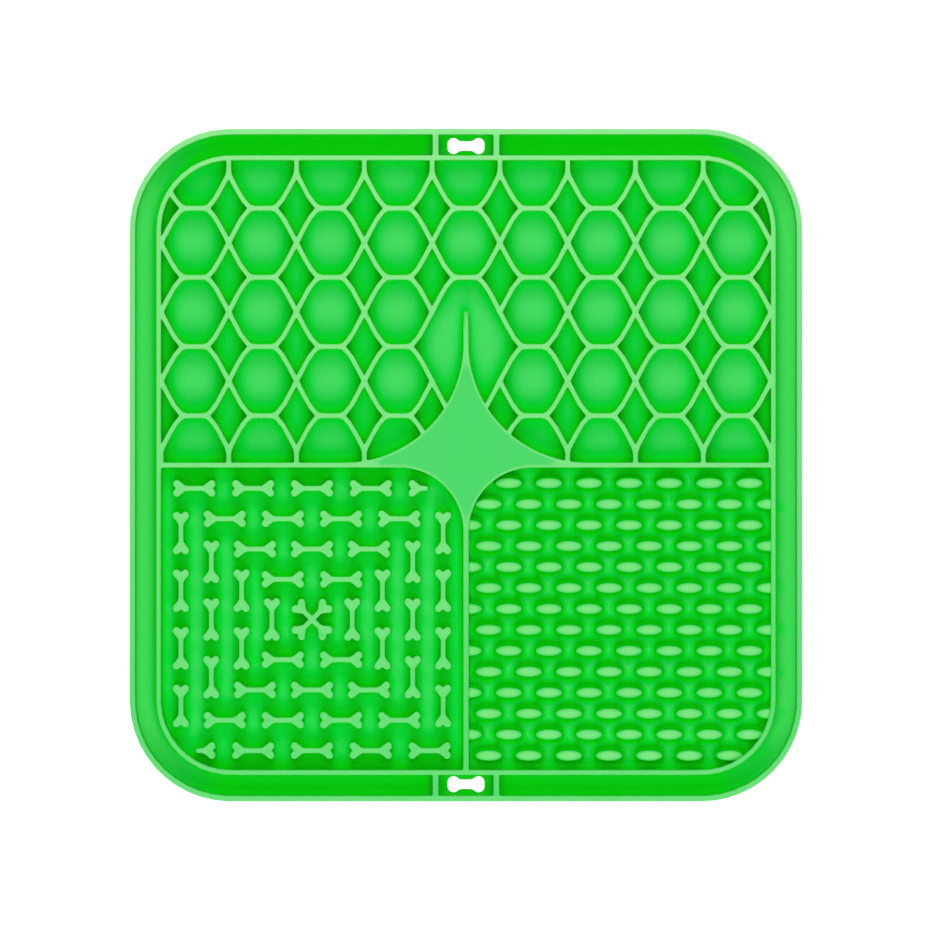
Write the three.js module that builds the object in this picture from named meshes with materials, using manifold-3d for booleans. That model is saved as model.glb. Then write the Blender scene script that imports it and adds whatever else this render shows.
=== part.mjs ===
// Lick mat for pets, moulded in one piece from green silicone, lying flat with its working face up.
// Millimetres. X runs to the right, Y towards the honeycomb half, Z up from the table.
// The origin is the middle of the underside.

import * as THREE from 'three';
import { mergeVertices } from 'three/addons/utils/BufferGeometryUtils.js';
import Module from 'manifold-3d';

// Whole mat
const MAT_SIDE = 200;
const MAT_CORNER_R = 30;
const MAT_HEIGHT = 8.5;
const FLOOR_THICK = 2.5;
const CORNER_STEPS = 8;

// Rim, spill gutter and inner wall, one inside the other all round the mat
const RIM_THICK = 1.6;
const GUTTER_WIDE = 6.3;
const WALL_THICK = 1.35;

// Two ribs across the gutter at each end, with a bone-shaped hanging hole between them
const RIB_THICK = 1.7;
const RIB_FROM_MIDDLE = 9.05;
const HOLE_LOBE_R = 1.75;
const HOLE_LOBE_X = 3.75;
const HOLE_LOBE_Y = 0.7;
const HOLE_WAIST_HALF_LONG = 1.6;
const HOLE_WAIST_HALF_WIDE = 1.45;
const HOLE_LOBE_STEPS = 4;

// Divider across the mat, and the one that parts the lower half in two
const ACROSS_THICK = 1.4;
const DOWN_THICK = 1.6;

// Star where the dividers meet: its sides are arcs that run into the dividers and the spike
const STAR_UPPER_R = 35.5;
const STAR_LOWER_R = 19;
const SPIKE_THICK = 1.5;
const SPIKE_TOP_Y = 45.8;
const SPIKE_TIP_LONG = 1.2;
const STAR_UPPER_STEPS = 10;
const STAR_LOWER_STEPS = 8;

// Honeycomb of the upper half: short bars joined by leaning walls that cross between the columns
const COLUMNS = 9;
const BAR_ROWS = 4;
const CELL_TALL = 20.57;
const FIRST_BAR_Y = 14.7;
const BAR_HALF_LONG = 3.5;
const LEAN = THREE.MathUtils.degToRad(62.5);
const LEAN_STRAIGHT = 6.4;
const LEAN_ARC_STEPS = 1;

// The one bar that is left out, so that its cells and the next make the chamber round the spike
const OPEN_COLUMN = 4;
const OPEN_ROW = 1;

// Raised bones of the lower left quarter, in square rings round a crossed pair. A ring's reach is from
// the crossed pair to its rows and columns, and its row pitch is from bone to bone along a row.
const BONE_FIELD_X = -45.8;
const BONE_FIELD_Y = -45.92;
const BONE_LOBE_R = 1.1;
const BONE_LOBE_X = 5.2;
const BONE_LOBE_Y = 1.35;
const BONE_SHAFT_HALF = 0.7;
const BONE_LOBE_STEPS = 3;
const CROSSED_BONE_LOBE_X = 5.75;
const HALF_BONE_END = 0.5;
const BONE_RINGS = [
  { reach: 11.95, rowPitch: 17.35 },
  { reach: 20.95, rowPitch: 16.95 },
  { reach: 29.95, rowPitch: 17.3 },
  { reach: 39, rowPitch: 17.5 },
];
const COLUMN_PITCH = 17.15;

// Raised lens-shaped nubs of the lower right quarter, lower than the walls, in rows that step half a pitch
const NUB_TOP = 6.5;
const NUB_HALF_LONG = 4.2;
const NUB_HALF_WIDE = 1.58;
const NUB_SIDES = 8;
const NUB_ROWS = 14;
const NUBS_A_ROW = 8;
const NUB_PITCH = 11.95;
const NUB_ROW_PITCH = 6.235;
const FIRST_NUB_X = 0.78;
const FIRST_NUB_Y = -5.4;

// Standing walls start inside the floor, so that they join it
const ROOT = 1;

// Corners closer together than this are one corner
const SAME_POINT = 1e-5;

// Places worked out from the sizes above
const HALF_SIDE = MAT_SIDE / 2;
const RIM_INSIDE = HALF_SIDE - RIM_THICK;
const WALL_OUTSIDE = RIM_INSIDE - GUTTER_WIDE;
const FIELD = WALL_OUTSIDE - WALL_THICK;
const WALL_MIDDLE = FIELD + WALL_THICK / 2;
const GUTTER_MIDDLE = (RIM_INSIDE + WALL_OUTSIDE) / 2;
const CELL_WIDE = 2 * FIELD / COLUMNS;

const wasm = await Module();
wasm.setup();

// A closed three.js geometry as a solid that can be joined and cut.
function toSolid(geometry) {
  geometry.deleteAttribute('normal');
  geometry.deleteAttribute('uv');
  const merged = mergeVertices(geometry, SAME_POINT);
  return new wasm.Manifold(new wasm.Mesh({
    numProp: 3,
    vertProperties: merged.attributes.position.array,
    triVerts: new Uint32Array(merged.index.array),
  }));
}

// A flat outline, with any holes, carried straight up from one height to another.
function prism(outline, low, high, holes = []) {
  const shape = new THREE.Shape(outline);
  shape.holes = holes.map((hole) => new THREE.Path(hole));
  const geometry = new THREE.ExtrudeGeometry(shape, { depth: high - low, bevelEnabled: false });
  geometry.translate(0, 0, low);
  return toSolid(geometry);
}

// A form that stands on the floor and is level with the rim.
function standing(outline, holes = []) {
  return prism(outline, FLOOR_THICK - ROOT, MAT_HEIGHT, holes);
}

function join(solids) {
  return wasm.Manifold.union(solids);
}

// Points on a circle, both ends included, angles in radians.
function arc(x, y, radius, from, to, steps) {
  return Array.from({ length: steps + 1 }, (_, i) => {
    const angle = from + (to - from) * i / steps;
    return new THREE.Vector2(x + radius * Math.cos(angle), y + radius * Math.sin(angle));
  });
}

function rectangle(left, bottom, right, top) {
  return [[left, bottom], [right, bottom], [right, top], [left, top]]
    .map(([x, y]) => new THREE.Vector2(x, y));
}

// A square about the origin whose corners share their centres with the mat's own corners.
function roundedSquare(half) {
  const radius = MAT_CORNER_R - (HALF_SIDE - half);
  const centre = half - radius;
  return [[1, 1], [-1, 1], [-1, -1], [1, -1]].flatMap(([x, y], corner) => {
    const from = corner * Math.PI / 2;
    return arc(x * centre, y * centre, radius, from, from + Math.PI / 2, CORNER_STEPS);
  });
}

// The mirror image across the Y axis, in the opposite order.
function mirrored(points) {
  return points.map((p) => new THREE.Vector2(-p.x, p.y)).reverse();
}

// A whole outline from its upper right quarter, whose first point lies on the X axis.
function fourfold(quarter) {
  const upper = [...quarter, ...mirrored(quarter)];
  const lower = upper.slice(1, -1).map((p) => new THREE.Vector2(-p.x, -p.y));
  return [...upper, ...lower];
}

function turned(points, angle, x, y) {
  const origin = new THREE.Vector2();
  return points.map((p) => p.clone().rotateAround(origin, angle).add(new THREE.Vector2(x, y)));
}

// The outline of a wall of even thickness along a path.
function ribbon(path, thick) {
  const sides = [1, -1].map((side) => path.map((point, i) => {
    const before = path[Math.max(i - 1, 0)];
    const after = path[Math.min(i + 1, path.length - 1)];
    const along = after.clone().sub(before).normalize();
    return new THREE.Vector2(-along.y, along.x).multiplyScalar(side * thick / 2).add(point);
  }));
  return [...sides[0], ...sides[1].reverse()];
}

// Rim and inner wall
function frameWalls() {
  const rim = standing(roundedSquare(HALF_SIDE), [roundedSquare(RIM_INSIDE)]);
  const inner = standing(roundedSquare(WALL_OUTSIDE), [roundedSquare(FIELD)]);
  return [rim, inner];
}

// Ribs across the gutter, each rooted halfway into the rim and the inner wall.
function gutterRibs() {
  const near = WALL_MIDDLE;
  const far = HALF_SIDE - RIM_THICK / 2;
  return [1, -1].flatMap((end) => [1, -1].map((side) => {
    const x = side * RIB_FROM_MIDDLE;
    return standing(rectangle(
      x - RIB_THICK / 2, Math.min(end * near, end * far),
      x + RIB_THICK / 2, Math.max(end * near, end * far)));
  }));
}

// The bone-shaped hole: each lobe is an arc from the long axis to where its tangent meets the waist.
function hangingHoles() {
  const toWaistX = HOLE_WAIST_HALF_LONG - HOLE_LOBE_X;
  const toWaistY = HOLE_WAIST_HALF_WIDE - HOLE_LOBE_Y;
  const from = -Math.asin(HOLE_LOBE_Y / HOLE_LOBE_R);
  const to = Math.atan2(toWaistY, toWaistX) - Math.acos(HOLE_LOBE_R / Math.hypot(toWaistX, toWaistY));
  const outline = fourfold([
    ...arc(HOLE_LOBE_X, HOLE_LOBE_Y, HOLE_LOBE_R, from, to, HOLE_LOBE_STEPS),
    new THREE.Vector2(HOLE_WAIST_HALF_LONG, HOLE_WAIST_HALF_WIDE),
  ]);
  return [1, -1].map((end) => {
    const placed = turned(outline, 0, 0, end * GUTTER_MIDDLE);
    return prism(placed, -ROOT, MAT_HEIGHT + ROOT);
  });
}

function dividers() {
  const across = rectangle(-WALL_MIDDLE, -ACROSS_THICK / 2, WALL_MIDDLE, ACROSS_THICK / 2);
  const down = rectangle(-DOWN_THICK / 2, -WALL_MIDDLE, DOWN_THICK / 2, 0);
  return [standing(across), standing(down)];
}

// The star's right side from the spike's tip down, then its mirror image.
function star() {
  const spike = SPIKE_THICK / 2;
  const level = ACROSS_THICK / 2;
  const down = DOWN_THICK / 2;
  const right = [
    new THREE.Vector2(spike / 2, SPIKE_TOP_Y),
    new THREE.Vector2(spike, SPIKE_TOP_Y - SPIKE_TIP_LONG),
    ...arc(spike + STAR_UPPER_R, level + STAR_UPPER_R, STAR_UPPER_R,
      Math.PI, Math.PI * 1.5, STAR_UPPER_STEPS),
    ...arc(down + STAR_LOWER_R, -level - STAR_LOWER_R, STAR_LOWER_R,
      Math.PI * 0.5, Math.PI, STAR_LOWER_STEPS),
  ];
  return standing([...right, ...mirrored(right)]);
}

// The middle line of a leaning wall, from a crossing at the origin up and right to a bar's end:
// straight at first, then one arc that leaves the straight smoothly and ends at the bar.
function leaningPath() {
  const straightEnd = new THREE.Vector2(Math.cos(LEAN), Math.sin(LEAN)).multiplyScalar(LEAN_STRAIGHT);
  const barEnd = new THREE.Vector2(CELL_WIDE / 2 - BAR_HALF_LONG, CELL_TALL / 2);
  const chord = barEnd.clone().sub(straightEnd);
  const halfTurn = LEAN - chord.angle();
  const radius = chord.length() / (2 * Math.sin(halfTurn));
  const bend = Array.from({ length: LEAN_ARC_STEPS }, (_, i) => {
    const half = halfTurn * (i + 1) / LEAN_ARC_STEPS;
    const reach = 2 * radius * Math.sin(half);
    return new THREE.Vector2(Math.cos(LEAN - half), Math.sin(LEAN - half))
      .multiplyScalar(reach).add(straightEnd);
  });
  return [new THREE.Vector2(0, 0), straightEnd, ...bend];
}

function barExists(column, row) {
  const open = column === OPEN_COLUMN && row === OPEN_ROW;
  return column >= 0 && column < COLUMNS && row >= 0 && row < BAR_ROWS && !open;
}

function bars() {
  const solids = [];
  for (let column = 0; column < COLUMNS; column += 1) {
    for (let row = 0; row < BAR_ROWS; row += 1) {
      if (barExists(column, row)) {
        const x = (column + 0.5) * CELL_WIDE - FIELD;
        const y = FIRST_BAR_Y + row * CELL_TALL;
        solids.push(standing(rectangle(
          x - BAR_HALF_LONG, y - WALL_THICK / 2, x + BAR_HALF_LONG, y + WALL_THICK / 2)));
      }
    }
  }
  return solids;
}

// The walls that leave one crossing: an arm to each bar end around it, and a stub at top and bottom.
function crossing(edge, row) {
  const x = edge * CELL_WIDE - FIELD;
  const y = FIRST_BAR_Y + (row - 0.5) * CELL_TALL;
  const path = leaningPath();
  const solids = [];
  for (const side of [-1, 1]) {
    for (const rise of [-1, 1]) {
      const column = side > 0 ? edge : edge - 1;
      const barRow = rise > 0 ? row : row - 1;
      if (barExists(column, barRow)) {
        const arm = path.map((p) => new THREE.Vector2(x + side * p.x, y + rise * p.y));
        solids.push(standing(ribbon(arm, WALL_THICK)));
      }
    }
  }
  const stubEnd = row === 0 ? 0 : WALL_MIDDLE;
  if (row === 0 || row === BAR_ROWS) {
    const stub = [new THREE.Vector2(x, y), new THREE.Vector2(x, stubEnd)];
    solids.push(standing(ribbon(stub, WALL_THICK)));
  }
  return solids;
}

// The honeycomb, trimmed to the middle of the inner wall.
function honeycomb() {
  const solids = bars();
  for (let edge = 0; edge <= COLUMNS; edge += 1) {
    for (let row = 0; row <= BAR_ROWS; row += 1) {
      solids.push(...crossing(edge, row));
    }
  }
  return join(solids).intersect(prism(roundedSquare(WALL_MIDDLE), 0, MAT_HEIGHT));
}

// The upper right quarter of a bone: a notch on the axis, a lobe on an arm at 45 degrees, the shaft.
function boneQuarter(lobeX) {
  const arm = Math.PI / 4;
  const notch = lobeX - BONE_LOBE_Y + BONE_LOBE_R / Math.sin(arm);
  const fork = lobeX - BONE_LOBE_Y - BONE_LOBE_R / Math.sin(arm) + BONE_SHAFT_HALF;
  return [
    new THREE.Vector2(notch, 0),
    ...arc(lobeX, BONE_LOBE_Y, BONE_LOBE_R, arm - Math.PI / 2, arm + Math.PI / 2, BONE_LOBE_STEPS),
    new THREE.Vector2(fork, BONE_SHAFT_HALF),
  ];
}

// One end of a bone and a short shaft, its knuckles to the right.
function halfBone() {
  const quarter = boneQuarter(BONE_LOBE_X);
  const lower = quarter.slice(1).map((p) => new THREE.Vector2(p.x, -p.y)).reverse();
  return [
    ...quarter,
    new THREE.Vector2(HALF_BONE_END, BONE_SHAFT_HALF),
    new THREE.Vector2(HALF_BONE_END, -BONE_SHAFT_HALF),
    ...lower,
  ];
}

// Evenly spaced places about zero.
function spread(count, pitch) {
  return Array.from({ length: count }, (_, i) => (i - (count - 1) / 2) * pitch);
}

// Each ring has a row of bones above and below and a column at each side. The last bone of the
// outermost upper row, and the first of the lower one, are half bones.
function bones() {
  const whole = fourfold(boneQuarter(BONE_LOBE_X));
  const crossed = fourfold(boneQuarter(CROSSED_BONE_LOBE_X));
  const solids = [1, 3].map((eighth) => {
    const placed = turned(crossed, eighth * Math.PI / 4, BONE_FIELD_X, BONE_FIELD_Y);
    return standing(placed);
  });
  BONE_RINGS.forEach(({ reach, rowPitch }, index) => {
    const ring = index + 1;
    for (const side of [-1, 1]) {
      spread(ring + 1, rowPitch).forEach((along, i) => {
        const last = side > 0 ? ring : 0;
        const halved = ring === BONE_RINGS.length && i === last;
        const angle = side > 0 ? Math.PI : 0;
        solids.push(standing(turned(
          halved ? halfBone() : whole, angle, BONE_FIELD_X + along, BONE_FIELD_Y + side * reach)));
      });
      for (const along of spread(ring, COLUMN_PITCH)) {
        solids.push(standing(turned(
          whole, Math.PI / 2, BONE_FIELD_X + side * reach, BONE_FIELD_Y + along)));
      }
    }
  });
  return solids;
}

// Nubs, trimmed where the inner wall and the divider cut the rows.
function nubs() {
  const lens = Array.from({ length: NUB_SIDES }, (_, i) => {
    const angle = i * 2 * Math.PI / NUB_SIDES;
    return new THREE.Vector2(NUB_HALF_LONG * Math.cos(angle), NUB_HALF_WIDE * Math.sin(angle));
  });
  const solids = [];
  for (let row = 0; row < NUB_ROWS; row += 1) {
    const step = (row % 2) * NUB_PITCH / 2;
    for (let i = 0; i < NUBS_A_ROW; i += 1) {
      const x = FIRST_NUB_X + step + i * NUB_PITCH;
      const placed = turned(lens, 0, x, FIRST_NUB_Y - row * NUB_ROW_PITCH);
      solids.push(prism(placed, FLOOR_THICK - ROOT, NUB_TOP));
    }
  }
  const quarter = prism(rectangle(0, -HALF_SIDE, HALF_SIDE, 0), 0, MAT_HEIGHT);
  return join(solids).intersect(quarter).intersect(prism(roundedSquare(WALL_MIDDLE), 0, MAT_HEIGHT));
}

// Moulded silicone
const silicone = new THREE.MeshStandardMaterial({ color: 0x14c83c, roughness: 0.5, metalness: 0 });

function matGeometry() {
  const floor = prism(roundedSquare(HALF_SIDE), 0, FLOOR_THICK);
  const whole = join([
    floor, ...frameWalls(), ...gutterRibs(), ...dividers(), star(), honeycomb(), ...bones(), nubs(),
  ]);
  const mesh = whole.subtract(join(hangingHoles())).asOriginal().getMesh();
  const geometry = new THREE.BufferGeometry();
  geometry.setAttribute('position', new THREE.BufferAttribute(mesh.vertProperties, mesh.numProp));
  geometry.setIndex(new THREE.BufferAttribute(mesh.triVerts, 1));
  geometry.computeVertexNormals();
  return geometry;
}

const mat = new THREE.Mesh(matGeometry(), silicone);
mat.name = 'mat';

const part = new THREE.Group();
part.add(mat);

export default part;
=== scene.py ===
"""The look of a moulded silicone lick mat: one closed skin with rounded edges, and the nubs that
the walls cut let into it."""

import bpy
import numpy as np
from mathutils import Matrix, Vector
from mathutils.geometry import delaunay_2d_cdt


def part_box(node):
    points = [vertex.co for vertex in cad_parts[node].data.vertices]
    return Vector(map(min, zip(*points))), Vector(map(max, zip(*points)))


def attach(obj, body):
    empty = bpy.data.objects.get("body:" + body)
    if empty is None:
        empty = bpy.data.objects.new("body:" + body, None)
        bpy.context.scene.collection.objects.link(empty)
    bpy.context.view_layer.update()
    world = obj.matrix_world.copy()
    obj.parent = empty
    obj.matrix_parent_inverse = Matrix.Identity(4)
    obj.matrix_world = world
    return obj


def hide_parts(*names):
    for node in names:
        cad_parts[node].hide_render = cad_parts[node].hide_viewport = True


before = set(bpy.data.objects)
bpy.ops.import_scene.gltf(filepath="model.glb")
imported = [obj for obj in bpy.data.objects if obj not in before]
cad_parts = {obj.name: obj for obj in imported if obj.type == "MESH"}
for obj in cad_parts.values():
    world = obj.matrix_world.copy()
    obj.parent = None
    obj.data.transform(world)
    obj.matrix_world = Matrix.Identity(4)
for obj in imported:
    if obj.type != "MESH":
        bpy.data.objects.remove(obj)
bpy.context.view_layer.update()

# Sizes of the mat are in millimetres. Its side and height are the frame's own.
MM = 0.001
_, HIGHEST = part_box("mat")
HALF_SIDE = HIGHEST.x / MM
MAT_HEIGHT = HIGHEST.z / MM
FLOOR = 2.5
CORNER_R = 30.0
CORNER_CENTRE = HALF_SIDE - CORNER_R

# Rim, spill gutter and inner wall
RIM_THICK = 1.6
GUTTER_WIDE = 6.3
WALL_THICK = 1.35
RIM_MIDDLE = HALF_SIDE - RIM_THICK / 2
WALL_OUTSIDE = HALF_SIDE - RIM_THICK - GUTTER_WIDE
WALL_MIDDLE = WALL_OUTSIDE - WALL_THICK / 2
FIELD = WALL_OUTSIDE - WALL_THICK
GUTTER_MIDDLE = WALL_OUTSIDE + GUTTER_WIDE / 2

# Ribs across the gutter, and the bone-shaped hanging hole between each two
RIB_THICK = 1.7
RIB_FROM_MIDDLE = 9.05
HOLE_LOBE_R = 1.75
HOLE_LOBE_X = 3.75
HOLE_LOBE_Y = 0.7
HOLE_WAIST_HALF = 1.45
HOLE_BLEND = 0.3

# Dividers, and the star whose sides are arcs that run into them and into its spike. The spike's tip
# is ramped down to the floor, over a patch this wide each way and from this far past the tip
ACROSS_HALF = 0.7
DOWN_HALF = 0.8
SPIKE_HALF = 0.75
SPIKE_TOP = 45.8
SPIKE_RAMP = 2.6
RAMP_HALF_WIDE = 2.0
RAMP_PAST = 0.4
STAR_UPPER_R = 35.5
STAR_LOWER_R = 19.0

# Honeycomb: bars joined by leaning walls, each straight at first and then bent to a bar's end
COLUMNS = 9
BAR_ROWS = 4
CELL_WIDE = 2 * FIELD / COLUMNS
CELL_TALL = 20.57
FIRST_BAR_Y = 14.7
FIRST_CROSSING_Y = FIRST_BAR_Y - CELL_TALL / 2
LAST_CROSSING_Y = FIRST_CROSSING_Y + BAR_ROWS * CELL_TALL
BAR_HALF_LONG = 3.5
OPEN_BAR = (4, 1)
LEAN = np.radians(62.5)
LEAN_STRAIGHT = 6.4

# Bones, in square rings round a crossed pair: reach of the ring, and pitch along its rows
BONE_FIELD = np.array([-45.8, -45.92])
BONE_LOBE_R = 1.1
BONE_LOBE_X = 5.2
BONE_LOBE_Y = 1.35
BONE_SHAFT_HALF = 0.7
CROSSED_BONE_LOBE_X = 5.75
HALF_BONE_END = 0.5
BONE_BLEND = 0.2
BONE_RINGS = ((11.95, 17.35), (20.95, 16.95), (29.95, 17.3), (39.0, 17.5))
COLUMN_PITCH = 17.15

# Nubs, in rows that step half a pitch, lower than the walls. Each foot reaches farther on the side
# away from the front. Nubs nearer than NUB_CLEAR to a wall are let in, to NUB_ROOT under the floor,
# and the floor gets points round those, NUB_OUTSIDE times as far from the nub's middle as its foot
NUB_HALF_LONG = 4.0
NUB_HALF_WIDE = 1.55
NUB_LEAN = 0.8
NUB_POWER = 2.0
NUB_ROWS = 14
NUBS_A_ROW = 8
NUB_PITCH = 11.95
NUB_ROW_PITCH = 6.235
FIRST_NUB = np.array([0.78, -5.4])
NUB_CLEAR = 0.6
NUB_SINK = 2.0
NUB_TOP = MAT_HEIGHT - NUB_SINK
NUB_DOME = 0.5
NUB_DOME_POWER = 3.5
NUB_DOME_RINGS = (0.3, 0.55, 0.75, 0.88, 0.96, 1.0)
NUB_EDGE = 0.4
NUB_ROOT = 1.0
NUB_FOOT = 0.7
NUB_FOOT_STEPS = 4
NUB_SIDES = 24
NUB_OUTSIDE = 1.01

# Edges: rounding of tops, of the feet of walls, of the outside bottom edge and of the holes, and
# the steps that each takes. DRAFT is how far a side leans out, BLEND how widely walls are joined
TOP_ROUND = 0.26
FOOT_ROUND = 0.32
DRAFT = 0.08
BOTTOM_ROUND = 0.4
HOLE_ROUND = 0.25
TOP_STEPS = 4
FOOT_STEPS = 3
BOTTOM_STEPS = 3
HOLE_STEPS = 2
BLEND = 0.2

# How finely outlines are found and kept: the grid, the longest step and turn from point to point,
# the step within BY_STAR of the star, and how many points each side tell how straight a line is
GRID = 0.2
STEP_LONG = 7.0
STEP_TURN = np.radians(20)
STEP_STAR = 1.5
BY_STAR = 0.6
CALM = 6
GRID_MARGIN = 1.0

# Newton's steps that bring points to a level at first and at last, and the way that feels a slope
FIRST_ROUNDS = 2
LAST_ROUNDS = 3
SLOPE_STEP = 0.005

# Flats: the grid of points on the floor and the star's top, how far in from its edge the star's
# start, and the gap under which two points would be one
FLOOR_GRID = 1.5
STAR_INSET = -0.9
APART = 1e-7

# FAR stands for nothing near, and TINY is the slack of a height and keeps from dividing by nothing
FAR = 40.0
TINY = 1e-9

# Headings in which the floor's openness is felt out, with the weight of each, and the way at which
# the next form hides half of what comes from there. A way is felt up to WAY_MOST. The openness is
# painted shade: the floor's colour is darker where forms hide what comes from these headings, more
# from the front than the back. Points up to FOOT_TALL over the floor take this painted shade, and
# tops and the outside have a painted tone of their own, lighter on tops and darker on the outside
HEADINGS = (
    ((0.0, 1.0), 0.8), ((0.0, -1.0), 1.2),
    ((0.7, 0.7), 0.45), ((-0.7, 0.7), 0.35), ((0.7, -0.7), 0.8), ((-0.7, -0.7), 0.5),
)
HALF_HIDDEN = 5.0
NUB_HIDDEN = 3.0
TOP_OPEN = 0.62
OUTER_TONE = -0.1
FOOT_TALL = 1.0
WAY_MOST = 12.0
STRIDES = 8

# Half widths of the star's arms, at which the painted highlight on its top starts to fade and is
# gone
ARM_PALE = 1.0
ARM_PLAIN = 1.7

# Painted highlight on top edges, pale where light from the front and back would catch them: on
# nubs, on all walls, more on those that cross Y, and more towards the back of the mat. The last
# constant is how far down the painted highlight goes
HIGHLIGHT_NUBS = 0.7
HIGHLIGHT_WALLS = 0.42
HIGHLIGHT_ACROSS = 0.25
HIGHLIGHT_BACK = 0.35
HIGHLIGHT_DEEP = 1.5 * TOP_ROUND

# Look of the silicone. Scales are in cells a metre, depths in metres. The floor's tones are painted
# shade and light: they go by its openness, and the gutter's by its openness with the sign turned.
# One between is the outside's, a painted darker tone on the outer side and underneath
# Attributes: the painted edge highlight, and the floor's place in the painted shade tones
EDGE = "painted_edge_highlight"
OPEN = "painted_floor_light"
GREEN_DEEP = (0.0, 0.74, 0.02, 1)
GREEN_LIT_TOP = (0.086, 0.77, 0.166, 1)
GREEN_HIGHLIGHT = (0.32, 0.93, 0.32, 1)
PAINTED_SHADE_TONES = (
    (-0.66, (0.07, 0.74, 0.125, 1)),
    (-0.46, (0.01, 0.77, 0.065, 1)),
    (-0.38, (0.0, 0.88, 0.003, 1)),
    (-0.28, (0.0, 0.86, 0.0, 1)),
    (OUTER_TONE, (0.03, 0.5, 0.07, 1)),
    (0.0, (0.0, 0.64, 0.0, 1)),
    (0.2, (0.0, 0.68, 0.0, 1)),
    (0.29, (0.0, 0.765, 0.0, 1)),
    (0.38, (0.0, 0.785, 0.02, 1)),
    (0.53, (0.0, 0.765, 0.055, 1)),
    (0.68, (0.04, 0.745, 0.12, 1)),
    (0.78, (0.075, 0.74, 0.15, 1)),
)
# Painted light: from this height up the colour goes to the lighter top tone
LIT_TOP_FROM = 6.5
NOISE_ROUGH = 0.6
CLOUD_SHADE = 0.06
CLOUD_SHADE_FROM = 0.35
CLOUD_SHADE_TO = 0.65
CLOUD_SCALE = 55.0
CLOUD_DETAIL = 3.0
GRAIN_SCALE = 2400.0
GRAIN_DETAIL = 2.0
GRAIN_STRENGTH = 0.25
GRAIN_DEPTH = 0.00005
SILICONE_IOR = 1.41
SPECULAR = 0.06
CLOUD_ROUGH_FROM = 0.3
CLOUD_ROUGH_TO = 0.7
ROUGH_LEAST = 0.48
ROUGH_MOST = 0.56
EDGE_GLOSS = 0.06

WHITE = (1, 1, 1, 1)

# Studio, in metres and watts. VIEW_WIDE is what the camera sees at the height of the mat's top
STAGE_SIDE = 8.0
STAGE_DROP = 0.0001
STAGE_TONE = (0.85, 0.85, 0.85, 1)
STAGE_GLOW = 0.75
STAGE_ROUGH = 0.9
STAGE_SPECULAR = 0.1
WORLD_FILL = 0.3
SOFTBOXES = (
    ("softbox_front", (0.0, -0.65, 0.65), (0.6, 0.4), 2.7),
    ("softbox_back", (0.0, 0.65, 0.65), (0.6, 0.4), 2.3),
    ("overhead", (0.0, 0.0, 0.8), (0.5, 0.5), 1.6),
)
CAMERA_AWAY = 1.8
CAMERA_OVER = (0.0003, -0.00056)
VIEW_WIDE = 0.2777


def blended(distances, width):
    """The least of several distances, rounded where two are alike: less the width times the
    logarithm of the sum of exp(-d / width)."""
    least = np.minimum.reduce(distances)
    total = sum(np.exp((least - d) / width) for d in distances)
    return least - width * np.log(total)


def reach(x, y):
    """Half side of the rounded square through a point: that of the square of the corner centres,
    plus the way past it."""
    past_x = np.abs(x) - CORNER_CENTRE
    past_y = np.abs(y) - CORNER_CENTRE
    outside = np.hypot(np.maximum(past_x, 0), np.maximum(past_y, 0))
    return CORNER_CENTRE + outside + np.minimum(np.maximum(past_x, past_y), 0)


def capsule(x, y, x0, y0, x1, y1, radius):
    """Distance to a straight line from one point to another, less the radius of its round wall."""
    along = np.array([x1 - x0, y1 - y0])
    share = np.clip(((x - x0) * along[0] + (y - y0) * along[1]) / (along @ along), 0, 1)
    return np.hypot(x - x0 - share * along[0], y - y0 - share * along[1]) - radius


def leaning_wall(x, y):
    """Distance to the middle line of a leaning wall from the origin up and right to a bar's end:
    the nearer of its straight start and of the arc that goes smoothly on from it to the bar."""
    start = LEAN_STRAIGHT * np.array([np.cos(LEAN), np.sin(LEAN)])
    chord = np.array([CELL_WIDE / 2 - BAR_HALF_LONG, CELL_TALL / 2]) - start
    half_turn = LEAN - np.arctan2(chord[1], chord[0])
    radius = np.hypot(*chord) / (2 * np.sin(half_turn))
    centre = start + radius * np.array([np.sin(LEAN), -np.cos(LEAN)])
    last = LEAN + np.pi / 2
    angle = np.clip(np.arctan2(y - centre[1], x - centre[0]), last - 2 * half_turn, last)
    bend = np.hypot(x - centre[0] - radius * np.cos(angle), y - centre[1] - radius * np.sin(angle))
    return np.minimum(capsule(x, y, 0, 0, start[0], start[1], 0), bend)


def bar_stands(column, row):
    """True where the honeycomb has a bar: all over its columns and rows but at the open one."""
    within = (column >= 0) & (column < COLUMNS) & (row >= 0) & (row < BAR_ROWS)
    return within & ~((column == OPEN_BAR[0]) & (row == OPEN_BAR[1]))


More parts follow.
